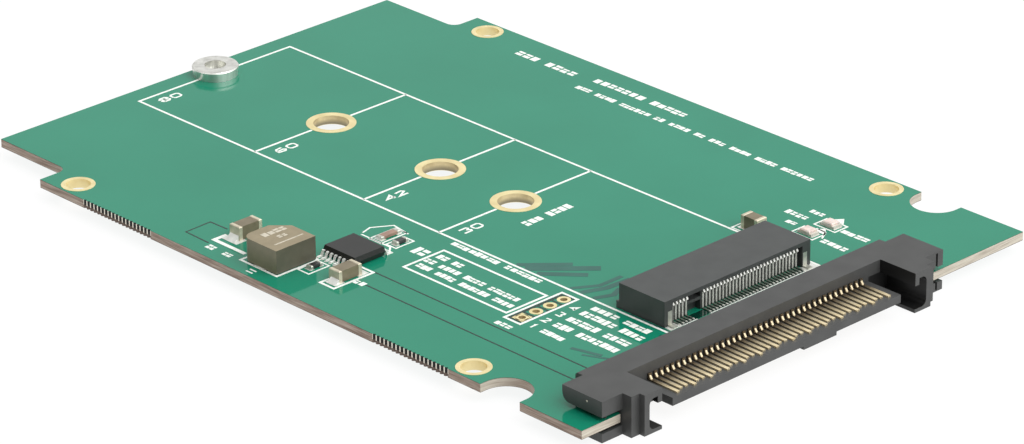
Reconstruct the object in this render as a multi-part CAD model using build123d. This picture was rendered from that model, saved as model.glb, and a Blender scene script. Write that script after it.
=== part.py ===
from build123d import *
from math import isclose
import os

# Carrier card that takes a small M.2 storage module into a 2.5 inch drive bay.
# Millimetres. X runs across the card, +Y from the drive plug to the rear, +Z up.
# The origin is the centre of the four mounting holes, on the board's underside.

# Circuit board
board_width = 66.0
board_length = 96.5
board_thickness = 1.0
tab_step = 3.8
tab_length = 11.7
tab_corner_radius = 1.2
notch_width = 5.7
notch_depth = 3.7
notch_from_front = 11.65

# Mounting holes, measured from the board's edges
mount_from_front = 17.7
mount_from_rear = 15.7
mount_from_side = 2.14
mount_hole_radius = 1.4

# Module length holes: three counted from the module's front edge, the last from the board's rear
module_edge_from_front = 13.8
module_lengths = (30.0, 42.0, 60.0)
standoff_from_rear = 2.7
module_hole_radius = 2.05

# Break-off perforations on the left edge
bite_radius = 0.22
bite_pitch = 0.6
bite_count = 19
bite_sides = 4
bite_rows_from_front = (24.9, 71.6)

# Empty header place
header_from_left = 16.5
header_from_front = 22.5
header_pitch = 2.0
header_count = 4
header_hole_radius = 0.42
header_hole_sides = 12

# Drive plug moulding
plug_x = -5.2
plug_roof_above_board = 2.25
plug_below_board = 1.3
plug_body_width = 44.6
plug_body_rear = 6.5
plug_wall = 2.85
plug_shoulder = 1.4
plug_front_width = 42.3
plug_front = 2.1
plug_mouth_width = 37.4
plug_rear_chamfer = 0.25
board_seat = 4.6
board_gap = 0.35
cutout_clearance = 0.15

# Plug ears above and below the board
ear_span = 50.3
ear_front = 0.15
ear_rear = 5.45
upper_ear_gap = 0.5
lower_ear_gap = 0.3
ear_round = 1.0
lower_ear_round = 0.45

# Metal hold-down plates in slits of the ears, soldered to both faces of the board
hold_down_width = 0.2
hold_down_inset = 0.95
hold_down_front = 0.3
hold_down_rear = 1.6
hold_down_cover = 0.2
hold_down_clearance = 0.05

# Guide channels at both ends of the plug's mouth
guide_wall = 0.7
guide_roof = 0.7
guide_floor = 0.4
guide_lip_width = 0.6
guide_lip_depth = 1.45
guide_depth = 5.5
guide_round = 0.7

# Tongue
tongue_width = 33.7
tongue_front = 1.75
tongue_thickness = 0.9
tongue_above_board = 0.35
key_left = 2.2
key_right = 7.1
key_drop = 0.4

# Plug contacts
contact_thickness = 0.16
upper_count = 40
upper_pitch = 0.8
upper_width = 0.42
upper_tip_setback = 0.85
upper_long_by = 0.4
upper_long_every = 3
upper_rise = 0.6
lower_tip_setback = 0.7
lower_width = 0.7
lower_pitch = 1.27
power_count = 15
signal_count = 7
side_count = 6
side_pitch = 0.8
side_width = 0.42
tail_reach = 1.7
power_from_tongue_end = 0.65
signal_from_tongue_end = 1.1

# Card socket
socket_width = 21.8
socket_front = 10.4
socket_rear = 17.4
socket_height = 2.95
socket_back_lip = 0.45
socket_back_depth = 0.6
socket_end_wall = 1.2
socket_ledge_depth = 0.4
socket_ledge_height = 0.8
slot_height = 0.95
slot_floor = 1.15
slot_depth = 3.8
slot_groove = 0.3
slot_end_wall = 0.85
socket_key_width = 1.9
key_pocket_depth = 0.7
key_rib_low = 1.15
key_rib_high = 1.5
peg_radius = 0.5
peg_sides = 8
peg_from_end = 1.5
peg_clearance = 0.05

# Socket contacts
socket_pitch = 0.5
socket_positions = 38
key_first = 5
key_count = 4
leg_width = 0.2
leg_thickness = 0.12
leg_clearance = 0.06
foot_reach = 0.7
second_foot_reach = 0.5
beam_length = 4.2
first_tip_height = 0.55
second_tip_height = 0.3
second_tip_rise = 0.3
second_tip_length = 1.7
solder_tab_metal = 0.2
solder_tab_width = 0.6
solder_tab_from_end = 0.8
solder_tab_height = 1.7
solder_tab_foot = 0.8

# Standoff and its screw
standoff_radius = 2.7
standoff_disc_height = 0.4
standoff_waist_radius = 2.6
standoff_chamfer = 0.12
standoff_thread_radius = 1.25
standoff_thread_depth = 1.0
spigot_clearance = 0.15
spigot_sides = 12
screw_head_radius = 2.6
screw_head_height = 0.8
screw_shank_radius = 0.95
screw_shank_length = 0.85
screw_recess_radius = 1.5
screw_recess_width = 0.6
screw_recess_depth = 0.45

# Power supply
inductor_from_left = 4.95
inductor_from_front = 50.65
inductor_size = 5.5
inductor_height = 2.8
inductor_cut_corner = 1.75
inductor_round_corner = 1.2
inductor_terminal_width = 1.6
inductor_terminal_thickness = 0.12
regulator_from_left = 11.35
regulator_from_front = 45.9
regulator_width = 4.4
regulator_length = 5.0
regulator_height = 1.15
regulator_standoff = 0.1
regulator_parting = 0.6
regulator_draft = 0.14
lead_pitch = 0.65
lead_width = 0.25
lead_thickness = 0.15
lead_shoulder = 0.2
lead_span = 6.4
lead_foot = 0.6
leads_per_side = 8

# Chip parts: distances from the left and front edges, length, width, height, long axis
capacitor_end = 0.45
input_capacitor = (6.6, 57.9, 3.2, 1.6, 1.6, "x")
output_capacitor_from_left = 7.1
output_capacitor_size = (3.2, 1.6, 1.35)
chip_gap = 0.12
fuse = (17.2, 47.0, 2.8, 0.9, 0.4, "x")
resistor_a = (6.4, 46.7, 1.6, 0.8, 0.45, "x")
resistor_b = (16.9, 44.8, 1.6, 0.8, 0.45, "x")
socket_capacitor_from_right = 19.9
socket_capacitor_from_front = 20.7
socket_capacitor_size = (2.4, 1.5, 1.6)
chip_corner = 0.08
chip_step = 0.04
resistor_end = 0.3

# Light-emitting diodes: distances from the right and front edges
led_places = ((16.5, 15.9), (13.4, 15.5))
led_length = 2.0
led_width = 1.25
led_base_height = 0.3
led_lens_length = 1.4
led_lens_height = 0.3
led_lens_chamfer = 0.12

tab_half_width = board_width / 2 - tab_step
mount_spacing_x = board_width - 2 * mount_from_side
mount_spacing_y = board_length - mount_from_front - mount_from_rear
board_top = board_thickness
plug_roof = board_top + plug_roof_above_board
plug_floor = -plug_below_board
tongue_top = board_top + tongue_above_board
tongue_bottom = tongue_top - tongue_thickness
socket_top = board_top + socket_height
slot_end = socket_rear - slot_depth
slot_roof = board_top + slot_floor + slot_height

# A module lies flat, so the standoff is level with the slot's floor
standoff_top = board_top + slot_floor


def from_front(distance):
    """Y of a point that lies this far behind the board's front edge."""
    return distance - mount_from_front - mount_spacing_y / 2


def from_left(distance):
    """X of a point that lies this far inside the board's left edge."""
    return distance - board_width / 2


def from_right(distance):
    return -from_left(distance)


def block(x0, x1, y0, y1, z0, z1):
    """Box between two corners, with its Y values counted from the board's front edge."""
    box = Box(x1 - x0, y1 - y0, z1 - z0, align=(Align.MIN, Align.MIN, Align.MIN))
    return Pos(x0, from_front(y0), z0) * box


def upright(x, distance, radius, z0, z1):
    """Upright cylinder at a place on the board."""
    rod = Cylinder(radius, z1 - z0, align=(Align.CENTER, Align.CENTER, Align.MIN))
    return Pos(x, from_front(distance), z0) * rod


def ribbon(path, thickness):
    """Face of a bent strip: its side view line, widened to both sides with mitred corners."""
    points = [Vector(*point) for point in path]
    normals = [(b - a).normalized().rotate(Axis.Z, 90) for a, b in zip(points, points[1:])]
    normals = [normals[0]] + normals + [normals[-1]]
    pushes = [(a + b) * (thickness / 2 / (1 + a.dot(b))) for a, b in zip(normals, normals[1:])]
    left = [point + push for point, push in zip(points, pushes)]
    right = [point - push for point, push in zip(points, pushes)]
    return make_face(Polyline(*left, *reversed(right), close=True))


def strip(path, thickness, width, x):
    """Strip bent in the YZ plane along a line of (distance from front, height)."""
    face = ribbon([(from_front(distance), height) for distance, height in path], thickness)
    side_view = Plane(origin=(x - width / 2, 0, 0), x_dir=(0, 1, 0), z_dir=(1, 0, 0))
    return extrude(side_view * face, width)


def write(name, parts):
    """Write one node: a solid, or a group of separate solids."""
    solids = [solid for part in parts for solid in part.solids()]
    shape = solids[0] if len(solids) == 1 else Compound(children=solids)
    export_step(shape, "parts/" + name + ".step")


# Circuit board
def mount_places():
    half = mount_spacing_x / 2
    rows = (mount_from_front, mount_from_front + mount_spacing_y)
    return [(side * half, row) for row in rows for side in (-1, 1)]


def module_places():
    rows = [module_edge_from_front + length for length in module_lengths]
    return [(0.0, row) for row in rows] + [standoff_place()]


def standoff_place():
    return (0.0, board_length - standoff_from_rear)


def header_places():
    first = from_left(header_from_left) - header_pitch * (header_count - 1) / 2
    return [(first + header_pitch * i, header_from_front) for i in range(header_count)]


def board_outline():
    half = board_width / 2
    step = from_front(board_length - tab_length)
    rear = from_front(board_length)
    front = from_front(0)
    points = [(-half, front), (half, front), (half, step), (tab_half_width, step),
              (tab_half_width, rear)]
    points += [(-tab_half_width, rear), (-tab_half_width, step), (-half, step)]
    face = make_face(Polyline(*points, close=True))
    inner = [v for v in face.vertices() if isclose(v.Y, step) and isclose(abs(v.X), tab_half_width)]
    return fillet(inner, tab_corner_radius)


def side_notch(side):
    radius = notch_width / 2
    centre = board_width / 2 - notch_depth + radius
    y = from_front(notch_from_front)
    hollow = Pos(side * centre, y) * Circle(radius)
    mouth = Pos(side * (centre + board_width / 4), y) * Rectangle(board_width / 2, notch_width)
    return hollow + mouth


def bite_places():
    half_run = bite_pitch * (bite_count - 1) / 2
    return [(-board_width / 2, row - half_run + bite_pitch * i)
            for row in bite_rows_from_front for i in range(bite_count)]


def plug_cutout():
    width = plug_body_width + 2 * cutout_clearance
    return Pos(plug_x, from_front(0)) * Rectangle(width, 2 * board_seat)


def circles(places, radius):
    return [Pos(x, from_front(y)) * Circle(radius) for x, y in places]


def polygons(places, radius, sides):
    return [Pos(x, from_front(y)) * RegularPolygon(radius, sides) for x, y in places]


def circuit_board():
    sheet = board_outline() - side_notch(-1) - side_notch(1) - plug_cutout()
    sheet -= circles(mount_places(), mount_hole_radius)
    sheet -= circles(module_places(), module_hole_radius)
    sheet -= polygons(header_places(), header_hole_radius, header_hole_sides)
    sheet -= polygons(peg_places(), peg_radius + peg_clearance, peg_sides)
    sheet -= polygons(bite_places(), bite_radius, bite_sides)
    return extrude(sheet, board_thickness)


# Drive plug
def plug_block(half_width, y0, y1, z0, z1):
    return block(plug_x - half_width, plug_x + half_width, y0, y1, z0, z1)


def plug_ear(side):
    """Pair of ears over and under the board, each with a rounded rear corner."""
    inner = plug_body_width / 2
    outer = ear_span / 2
    x0, x1 = sorted((plug_x + side * inner, plug_x + side * outer))
    upper = block(x0, x1, -ear_front, ear_rear, board_top + upper_ear_gap, plug_roof)
    lower = block(x0, x1, -ear_front, ear_rear, plug_floor, -lower_ear_gap)
    rear_edges = upper.edges().filter_by(Axis.X).group_by(Axis.Y)[-1]
    upper = fillet(rear_edges.sort_by(Axis.Z)[0], ear_round)
    low_edges = lower.edges().filter_by(Axis.X).group_by(Axis.Y)[-1]
    lower = fillet(low_edges.sort_by(Axis.Z)[0], lower_ear_round)
    return upper + lower


def guide_pocket(side):
    """Hollow of one guide channel, open to the front and, under its lip, to the tongue."""
    inner = plug_mouth_width / 2
    outer = plug_front_width / 2 - guide_wall
    floor = plug_floor + guide_floor
    x0, x1 = sorted((plug_x + side * (inner + guide_lip_width), plug_x + side * outer))
    pocket = block(x0, x1, -plug_front - 1, guide_depth - plug_front, floor, plug_roof - guide_roof)
    outer_edges = pocket.edges().filter_by(Axis.Y).group_by(Axis.X)[-1 if side > 0 else 0]
    pocket = fillet(outer_edges, guide_round)
    x2, x3 = sorted((plug_x + side * (inner - 1), plug_x + side * (outer - guide_round)))
    side_way = block(x2, x3, -plug_front - 1, plug_wall, floor, plug_roof - guide_lip_depth)
    return pocket + side_way


def tongue():
    half = tongue_width / 2
    plate = plug_block(half, -tongue_front, plug_wall, tongue_bottom, tongue_top)
    key = block(plug_x + key_left, plug_x + key_right, -tongue_front, plug_wall,
                tongue_bottom - key_drop, tongue_bottom)
    return plate + key


def hold_down_x(side):
    return plug_x + side * (ear_span / 2 - hold_down_inset)


def hold_downs(side):
    """Plates in the upper and the lower ear, one on each face of the board."""
    x0 = hold_down_x(side) - hold_down_width / 2
    x1 = hold_down_x(side) + hold_down_width / 2
    top = plug_roof - hold_down_cover
    bottom = plug_floor + hold_down_cover
    return [block(x0, x1, hold_down_front, hold_down_rear, board_top, top),
            block(x0, x1, hold_down_front, hold_down_rear, bottom, 0)]


def hold_down_slits(side):
    """Slits that hold the plates, open to the front and to the board."""
    half = hold_down_width / 2 + hold_down_clearance
    x0 = hold_down_x(side) - half
    x1 = hold_down_x(side) + half
    bottom = plug_floor + hold_down_cover - hold_down_clearance
    top = plug_roof - hold_down_cover + hold_down_clearance
    return block(x0, x1, -ear_front - 1, hold_down_rear + hold_down_clearance, bottom, top)


def plug_housing():
    half = plug_body_width / 2
    body = plug_block(half, -plug_shoulder, plug_body_rear, plug_floor, plug_roof)
    top_rear = body.edges().filter_by(Axis.X).group_by(Axis.Y)[-1].sort_by(Axis.Z)[-1]
    body = chamfer(top_rear, plug_rear_chamfer)
    body += plug_block(plug_front_width / 2, -plug_front, 0, plug_floor, plug_roof)
    mouth = plug_block(plug_mouth_width / 2, -plug_front - 1, plug_wall, plug_floor - 1, plug_roof + 1)
    slot = plug_block(half + 1, board_seat, plug_body_rear + 1, -board_gap, board_top + board_gap)
    body = body - mouth - slot
    for side in (-1, 1):
        body -= guide_pocket(side)
        body += plug_ear(side)
        body -= hold_down_slits(side)
    return body + tongue()


def upper_path(tip):
    """Side view of an upper contact: finger on the tongue, step up, then down to the board."""
    finger = tongue_top + contact_thickness / 2
    tail = board_top + contact_thickness / 2
    high = finger + upper_rise
    rise = plug_wall - contact_thickness
    drop = board_seat + board_gap + upper_rise
    return [(tip, finger), (rise, finger), (rise + contact_thickness / 4, high), (drop, tail),
            (plug_body_rear + tail_reach, tail)]


def upper_places():
    first = plug_x - upper_pitch * (upper_count - 1) / 2
    return [first + upper_pitch * i for i in range(upper_count)]


def upper_contacts():
    contacts = []
    for i, x in enumerate(upper_places()):
        reach = upper_long_by if i % upper_long_every == 0 else 0
        path = upper_path(upper_tip_setback - tongue_front - reach)
        contacts.append(strip(path, contact_thickness, upper_width, x))
    return contacts


def lower_path(underside):
    """Side view of a lower contact: finger under the tongue, then back to the board's underside."""
    finger = underside - contact_thickness / 2
    tail = -contact_thickness / 2
    tip = lower_tip_setback - tongue_front
    bend = plug_wall + contact_thickness
    return [(tip, finger), (bend, finger), (board_seat, tail), (plug_body_rear + tail_reach, tail)]


def lower_rows():
    """X places, width and finger height of the three groups of lower contacts."""
    half = tongue_width / 2
    power = [plug_x - half + power_from_tongue_end + lower_pitch * i for i in range(power_count)]
    signal_first = plug_x + half - signal_from_tongue_end - lower_pitch * (signal_count - 1)
    signal = [signal_first + lower_pitch * i for i in range(signal_count)]
    side_first = plug_x + (key_left + key_right - side_pitch * (side_count - 1)) / 2
    side = [side_first + side_pitch * i for i in range(side_count)]
    return [(power, lower_width, tongue_bottom), (signal, lower_width, tongue_bottom),
            (side, side_width, tongue_bottom - key_drop)]


def lower_contacts():
    return [strip(lower_path(underside), contact_thickness, width, x)
            for places, width, underside in lower_rows() for x in places]


# Card socket
def fitted_positions():
    """Contact positions that aren't lost to the key."""
    return [i for i in range(socket_positions) if not key_first <= i < key_first + key_count]


def peg_places():
    reach = socket_width / 2 - peg_from_end
    return [(side * reach, (socket_front + socket_rear) / 2) for side in (-1, 1)]


def socket_x(index):
    return socket_pitch * (index - (socket_positions - 1) / 2)


def key_x():
    return socket_x(key_first + (key_count - 1) / 2)


def leg_line():
    return socket_front + socket_back_depth - leg_thickness / 2


def first_path():
    """Foot on the board, leg up the open back, beam that slopes down into the slot."""
    foot = board_top + leg_thickness / 2
    leg = leg_line()
    beam = socket_top - socket_back_lip - leg_thickness / 2
    tip = board_top + slot_floor + first_tip_height
    return [(socket_front - foot_reach, foot), (leg, foot), (leg, beam), (leg + beam_length, tip)]


def second_path():
    """Foot on the card side, riser under the slot, tip up into the slot."""
    foot = board_top + leg_thickness / 2
    riser = slot_end - leg_thickness
    tip = board_top + slot_floor + second_tip_height
    return [(socket_rear + second_foot_reach, foot), (riser, foot), (riser, tip - second_tip_rise),
            (riser + second_tip_length, tip)]


def second_positions():
    """X places of the second row, which sits half a pitch beside the first."""
    return [socket_x(i) + socket_pitch / 2 for i in fitted_positions()[:-1]]


def first_contacts():
    return [strip(first_path(), leg_thickness, leg_width, socket_x(i)) for i in fitted_positions()]


def second_contacts():
    return [strip(second_path(), leg_thickness, leg_width, x) for x in second_positions()]


def beam_groove(index):
    """Groove in the slot's roof that a first-row beam bends into."""
    half = leg_width / 2 + leg_clearance
    x = socket_x(index)
    end = leg_line() + beam_length + leg_clearance
    return block(x - half, x + half, slot_end, end, board_top + slot_floor, slot_roof + slot_groove)


def socket_tab(side):
    """Bent metal tab in the socket's end: a plate up the end wall and a foot on the board."""
    x = side * (socket_width / 2 - solder_tab_from_end)
    path = [(socket_front - solder_tab_foot, board_top + solder_tab_metal / 2),
            (socket_front + solder_tab_metal / 2, board_top + solder_tab_metal / 2),
            (socket_front + solder_tab_metal / 2, board_top + solder_tab_height)]
    return strip(path, solder_tab_metal, solder_tab_width, x)


def key_block(y0, y1, low, high):
    """Block in the key's gap between the contacts, between two heights above the board."""
    half = socket_key_width / 2
    return block(key_x() - half, key_x() + half, y0, y1, board_top + low, board_top + high)


def socket_pegs():
    """Locating pegs with flats, which fill the board's thickness."""
    return [extrude(peg, board_top) for peg in polygons(peg_places(), peg_radius, peg_sides)]


def socket_housing():
    half = socket_width / 2
    inner = half - socket_end_wall
    pocket_end = socket_front + socket_back_depth + key_pocket_depth
    body = block(-half, half, socket_front, socket_rear, board_top, socket_top)
    body -= block(-half - 1, half + 1, socket_rear - socket_ledge_depth, socket_rear + 1,
                  board_top + socket_ledge_height, socket_top + 1)
    body -= block(-half + slot_end_wall, half - slot_end_wall, slot_end, socket_rear + 1,
                  board_top + slot_floor, slot_roof)
    body -= block(-inner, inner, socket_front - 1, socket_front + socket_back_depth,
                  board_top - 1, socket_top - socket_back_lip)
    body += key_block(slot_end, socket_rear - socket_ledge_depth, 0, slot_floor + slot_height)
    body -= key_block(socket_front, pocket_end, 0, key_rib_low)
    body -= key_block(socket_front, pocket_end, key_rib_high, socket_height - socket_back_lip)
    body -= [beam_groove(i) for i in fitted_positions()]
    return body + socket_pegs()


# Standoff
def standoff():
    """Turned post: waist and top disc, with a spigot through the board's hole."""
    x, y = standoff_place()
    waist = upright(x, y, standoff_waist_radius, board_top, standoff_top)
    disc = upright(x, y, standoff_radius, standoff_top - standoff_disc_height, standoff_top)
    rim = disc.edges().filter_by(GeomType.CIRCLE).sort_by(Axis.Z)[-1]
    disc = chamfer(rim, standoff_chamfer)
    spigot_radius = module_hole_radius - spigot_clearance
    spigot = extrude(polygons([(x, y)], spigot_radius, spigot_sides)[0], board_top)
    thread = upright(x, y, standoff_thread_radius, standoff_top - standoff_thread_depth, standoff_top + 1)
    screw_hole = upright(x, y, screw_shank_radius, -1, screw_shank_length)
    return waist + disc + spigot - thread - screw_hole


def standoff_screw():
    x, y = standoff_place()
    head = upright(x, y, screw_head_radius, -screw_head_height, 0)
    head = chamfer(head.edges().filter_by(GeomType.CIRCLE).sort_by(Axis.Z)[0], standoff_chamfer)
    shank = upright(x, y, screw_shank_radius, 0, screw_shank_length)
    half = screw_recess_radius
    bottom = -screw_head_height
    narrow = screw_recess_width / 2
    recess = block(x - half, x + half, y - narrow, y + narrow, bottom - 1, bottom + screw_recess_depth)
    recess += block(x - narrow, x + narrow, y - half, y + half, bottom - 1, bottom + screw_recess_depth)
    return head + shank - recess


# Power supply
def inductor_body():
    """Moulded block with one cut and one rounded corner at its rear."""
    half = inductor_size / 2
    x = from_left(inductor_from_left)
    y = inductor_from_front
    bottom = board_top + inductor_terminal_thickness
    top = board_top + inductor_height
    body = block(x - half, x + half, y - half, y + half, bottom, top)
    rear_uprights = body.edges().filter_by(Axis.Z).group_by(Axis.Y)[-1].sort_by(Axis.X)
    body = chamfer(rear_uprights[-1], inductor_cut_corner)
    rear_left = body.edges().filter_by(Axis.Z).sort_by(Axis.X)[:2].sort_by(Axis.Y)[-1]
    return fillet(rear_left, inductor_round_corner)


def inductor_terminal(side):
    half = inductor_size / 2
    x = from_left(inductor_from_left)
    x0, x1 = sorted((x + side * half, x + side * (half - inductor_size / 4)))
    wide = inductor_terminal_width / 2
    y = inductor_from_front
    return block(x0, x1, y - wide, y + wide, board_top, board_top + inductor_terminal_thickness)


def regulator_body():
    """Moulding that narrows from its parting line, where the leads come out, to both faces."""
    y = from_front(regulator_from_front)
    levels = ((regulator_standoff, regulator_draft), (regulator_parting, 0),
              (regulator_height, regulator_draft))
    slices = []
    for height, inset in levels:
        outline = Rectangle(regulator_width - 2 * inset, regulator_length - 2 * inset)
        slices.append(Pos(from_left(regulator_from_left), y, board_top + height) * outline)
    return loft(slices, ruled=True)


def lead_place(index):
    return regulator_from_front + lead_pitch * (index - (leads_per_side - 1) / 2)


def regulator_lead(side, index):
    """Gull-wing lead: shoulder from the moulding, slope, and a foot on its pad."""
    foot = board_top + lead_thickness / 2
    shoulder = board_top + regulator_parting
    edge = regulator_width / 2
    tip = lead_span / 2
    y = from_front(lead_place(index))
    path = [(edge, shoulder), (edge + lead_shoulder, shoulder), (tip - lead_foot, foot), (tip, foot)]
    x = from_left(regulator_from_left)
    face = ribbon([(x + side * reach, height) for reach, height in path], lead_thickness)
    side_view = Plane(origin=(0, y + lead_width / 2, 0), x_dir=(1, 0, 0), z_dir=(0, -1, 0))
    return extrude(side_view * face, lead_width)


# Chip parts
def output_capacitor_place():
    """Chip in front of the regulator, just clear of its nearest leads."""
    length, width, height = output_capacitor_size
    lead_edge = lead_place(0) - lead_width / 2
    return (output_capacitor_from_left, lead_edge - chip_gap - width / 2, length, width, height, "x")


def socket_capacitor_place():
    x = from_right(socket_capacitor_from_right)
    return (x - from_left(0), socket_capacitor_from_front, *socket_capacitor_size, "y")


def chip_box(place, start, end, inset, bottom, top):
    """Stretch of a chip part, from start to end along its long axis."""
    left, y, length, width, height, axis = place
    x = from_left(left)
    wide = width / 2 - inset
    if axis == "x":
        return block(x + start, x + end, y - wide, y + wide, bottom, top)
    return block(x - wide, x + wide, y + start, y + end, bottom, top)


def chip_parts(place, end_length):
    """Body between two end caps, which stand a little proud of it."""
    half = place[2] / 2
    top = board_top + place[4]
    body = chip_box(place, end_length - half, half - end_length, chip_step, board_top + chip_step,
                    top - chip_step)
    caps = [chip_box(place, -half, end_length - half, 0, board_top, top),
            chip_box(place, half - end_length, half, 0, board_top, top)]
    caps = [chamfer(cap.faces().sort_by(Axis.Z)[-1].edges(), chip_corner) for cap in caps]
    return body, caps


# Light-emitting diodes
def led_base(x, y):
    half = led_length / 2
    wide = led_width / 2
    return block(x - wide, x + wide, y - half, y + half, board_top, board_top + led_base_height)


def led_lens(x, y):
    half = led_lens_length / 2
    wide = led_width / 2
    bottom = board_top + led_base_height
    lens = block(x - wide, x + wide, y - half, y + half, bottom, bottom + led_lens_height)
    return chamfer(lens.faces().sort_by(Axis.Z)[-1].edges(), led_lens_chamfer)


def main():
    os.makedirs("parts", exist_ok=True)
    write("circuit_board", [circuit_board()])

    uppers = upper_contacts()
    lowers = lower_contacts()
    write("plug_housing", [plug_housing() - uppers - lowers])
    write("plug_upper_contacts", uppers)
    write("plug_lower_contacts", lowers)
    write("plug_hold_downs", [plate for side in (-1, 1) for plate in hold_downs(side)])

    firsts = first_contacts()
    seconds = second_contacts()
    tabs = [socket_tab(side) for side in (-1, 1)]
    write("socket_housing", [socket_housing() - firsts - seconds - tabs])
    write("socket_first_contacts", firsts)
    write("socket_second_contacts", seconds)
    write("socket_tabs", tabs)

    write("standoff", [standoff()])
    write("standoff_screw", [standoff_screw()])
    write("inductor_body", [inductor_body()])
    write("inductor_terminals", [inductor_terminal(side) for side in (-1, 1)])
    leads = [regulator_lead(side, i) for side in (-1, 1) for i in range(leads_per_side)]
    write("regulator_body", [regulator_body() - leads])
    write("regulator_leads", leads)

    for name, place in (("input_capacitor", input_capacitor),
                        ("output_capacitor", output_capacitor_place()),
                        ("socket_capacitor", socket_capacitor_place()), ("fuse", fuse)):
        body, caps = chip_parts(place, capacitor_end)
        write(name + "_body", [body])
        write(name + "_ends", caps)
    pairs = [chip_parts(place, resistor_end) for place in (resistor_a, resistor_b)]
    write("resistor_bodies", [body for body, caps in pairs])
    write("resistor_ends", [cap for body, caps in pairs for cap in caps])

    write("led_bases", [led_base(from_right(right), y) for right, y in led_places])
    write("led_lenses", [led_lens(from_right(right), y) for right, y in led_places])


main()
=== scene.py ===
import math
import random

import bmesh
import bpy
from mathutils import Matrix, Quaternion, Vector


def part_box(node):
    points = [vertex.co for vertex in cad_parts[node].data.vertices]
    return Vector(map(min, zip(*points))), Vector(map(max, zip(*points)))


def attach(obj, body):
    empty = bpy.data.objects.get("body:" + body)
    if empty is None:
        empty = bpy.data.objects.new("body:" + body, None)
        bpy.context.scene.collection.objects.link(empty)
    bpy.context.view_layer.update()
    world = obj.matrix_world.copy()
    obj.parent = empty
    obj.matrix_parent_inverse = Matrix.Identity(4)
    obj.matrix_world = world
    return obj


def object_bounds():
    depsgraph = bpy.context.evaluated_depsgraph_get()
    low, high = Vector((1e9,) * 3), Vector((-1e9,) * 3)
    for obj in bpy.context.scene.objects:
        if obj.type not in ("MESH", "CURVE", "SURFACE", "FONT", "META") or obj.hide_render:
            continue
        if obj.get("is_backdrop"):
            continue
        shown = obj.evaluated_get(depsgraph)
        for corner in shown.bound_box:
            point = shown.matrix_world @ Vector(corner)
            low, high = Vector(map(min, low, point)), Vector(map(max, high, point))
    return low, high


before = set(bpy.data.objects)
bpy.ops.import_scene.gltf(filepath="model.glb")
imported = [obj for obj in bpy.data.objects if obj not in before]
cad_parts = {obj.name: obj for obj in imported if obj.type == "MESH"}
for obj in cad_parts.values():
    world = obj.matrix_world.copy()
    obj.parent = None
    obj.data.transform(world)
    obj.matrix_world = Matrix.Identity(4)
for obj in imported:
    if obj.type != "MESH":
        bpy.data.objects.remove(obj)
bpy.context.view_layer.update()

MM = 0.001
BODY = "root"

# Planes of the board, and the line that distances are counted from
board_low, board_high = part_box("circuit_board")
FRONT = board_low.y
TOP = board_high.z
BOTTOM = board_low.z
HALF_WIDTH = board_high.x

# Printed and plated layers
PRINT_HEIGHT = 0.02 * MM
TRACE_HEIGHT = 0.012 * MM
COPPER_HEIGHT = 0.035 * MM
RING_SEGMENTS = 48

# Board edges: thickness of the dark skin of mask on both faces
MASK_SKIN = 0.045 * MM

# Break-off perforations on the left edge: first and last distance of each row, depth of the
# bites, and thickness of the torn layer below them
BITE_ROWS = ((19.2, 30.6), (65.9, 77.3))
BITE_DEPTH = 0.3 * MM
TORN_LAYER = 0.38 * MM

# Camera, worked out from the photograph
FOCAL_LENGTH = 170.1
SENSOR_WIDTH = 36.0
CAMERA_AZIMUTH = -43.51
CAMERA_ELEVATION = 24.74
CAMERA_ROLL = -0.54
CAMERA_DISTANCE = 0.5196
CAMERA_TARGET = Vector((-3.99 * MM, FRONT + 40.22 * MM, TOP))
CLIP_START = 0.05
CLIP_END = 20.0

# Surround: a direction, how near to it the light starts and stops to change, and both its values
LIGHT_ABOVE = ((0, 0, 1), 0.45, 0.95, 0.72, 1.6)
LIGHT_FRONT = ((0.25, -0.95, 0.15), 0.2, 0.9, 0.0, 1.3)
LIGHT_LEFT = ((-1, 0, 0), 0.2, 0.85, 1.0, 0.3)

# Key light
KEY_PLACE = (0.25, -0.8, 0.9)
KEY_SIZE = 0.8
KEY_POWER = 5.0

# Floor
FLOOR_SIZE = 6.0
FLOOR_COLOR = (0.09, 0.09, 0.09)
FLOOR_GLOW = 0.89

# Plug: its middle, and from there the X reach of its tongue and its guide channels
PLUG_MIDDLE = -5.2 * MM
TONGUE_END = 16.9 * MM
GUIDE_INNER = 18.66 * MM
GUIDE_OUTER = 20.5 * MM

# Painted shade inside the guide channels: Y reach, and tops of their side opening and of the channels
GUIDE_FRONT = FRONT - 2.05 * MM
GUIDE_REAR = FRONT + 3.45 * MM
SIDE_WAY_TOP = TOP + 0.81 * MM
GUIDE_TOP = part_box("plug_housing")[1].z - 0.03 * MM

# Plug fingers: where their painted shade begins, over what length it deepens, and how deep it goes
FINGER_SHADE_START = FRONT - 0.9 * MM
FINGER_SHADE_LENGTH = 3.2 * MM
FINGER_SHADE_MOST = 0.92

# Socket feet: height of their tops, and where their shaded part begins
FOOT_TOP = TOP + 0.16 * MM
FOOT_SHADE = FRONT + 9.95 * MM

# Walls of the module holes: where their painted shade begins, and over what depth it deepens
BARREL_SHADE_START = TOP - 0.35 * MM
BARREL_SHADE_DEPTH = 0.5 * MM


def place(x, distance, height=0.0):
    """Point on the board's top: x and distance from the front edge in mm, height above it in m."""
    return Vector((x * MM, FRONT + distance * MM, TOP + height))


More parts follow.
